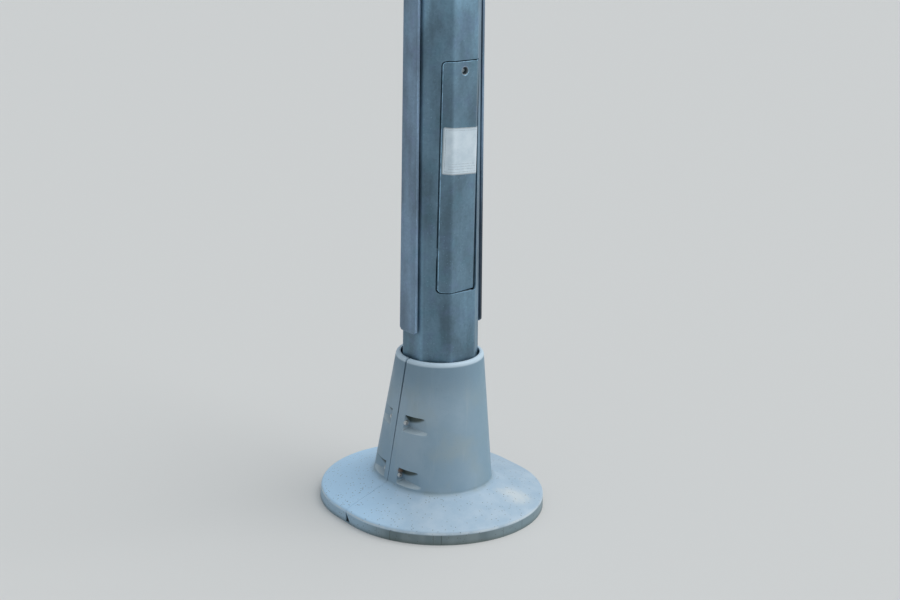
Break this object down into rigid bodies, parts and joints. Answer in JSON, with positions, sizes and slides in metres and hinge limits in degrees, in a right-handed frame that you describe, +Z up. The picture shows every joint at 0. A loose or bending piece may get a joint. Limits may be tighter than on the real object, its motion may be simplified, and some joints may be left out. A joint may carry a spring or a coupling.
{
  "type": "foot section of an octagonal lighting mast",
  "caption": "Foot of an octagonal galvanised lighting mast: tapered shaft on a base flange, lift-off service door, two flat side bars and a two-part moulded foot cover.",
  "frame": {"origin": "mast axis at the underside of the base flange, which is also the centre of the anchor holes", "axes": "+Z up the mast; the service door faces -Y; the side bars are on -X and +X"},
  "size_m": [0.508, 0.572, 1.5],
  "materials": {
    "galvanised_steel": "weathered hot-dip galvanised steel, matt blue-grey with faint mottling",
    "galvanised_door": "galvanised steel plate, slightly smoother than the shaft",
    "zinc_plate": "zinc-plated fastener, dulled",
    "lock_metal": "dark plated steel",
    "cover_shell": "moulded light-grey shell, satin, with dust and streaks",
    "label_film": "white adhesive film, satin"
  },
  "bodies": {
    "mast": {"shaft": "galvanised_steel", "base_flange": "galvanised_steel", "gusset_front": "galvanised_steel", "gusset_back": "galvanised_steel", "gusset_left": "galvanised_steel", "gusset_right": "galvanised_steel", "opening_strip_left": "galvanised_steel", "opening_strip_right": "galvanised_steel", "opening_strip_top": "galvanised_steel", "opening_strip_bottom": "galvanised_steel", "lock_bridge": "galvanised_steel", "gear_rail": "galvanised_steel", "earth_stud": "zinc_plate", "earth_nut": "zinc_plate", "side_bar_left": "galvanised_steel", "side_bar_right": "galvanised_steel", "bar_spacers_left": "galvanised_steel", "bar_spacers_right": "galvanised_steel", "cover_front_half": "cover_shell", "cover_back_half": "cover_shell", "cover_screw_left_upper": "zinc_plate", "cover_screw_left_lower": "zinc_plate", "cover_screw_right_upper": "zinc_plate", "cover_screw_right_lower": "zinc_plate"},
    "door": {"door_panel": "galvanised_door", "door_label": "label_film", "lock_cup": "lock_metal", "lock_bolt": "lock_metal", "door_lug_left": "galvanised_steel", "door_lug_right": "galvanised_steel", "door_lug_bottom": "galvanised_steel"}
  },
  "joints": [
    {"name": "door_lift_off", "type": "slide", "parent": "mast", "child": "door", "axis": [0, -1, 0], "range_m": [0, 0.25]}
  ]
}
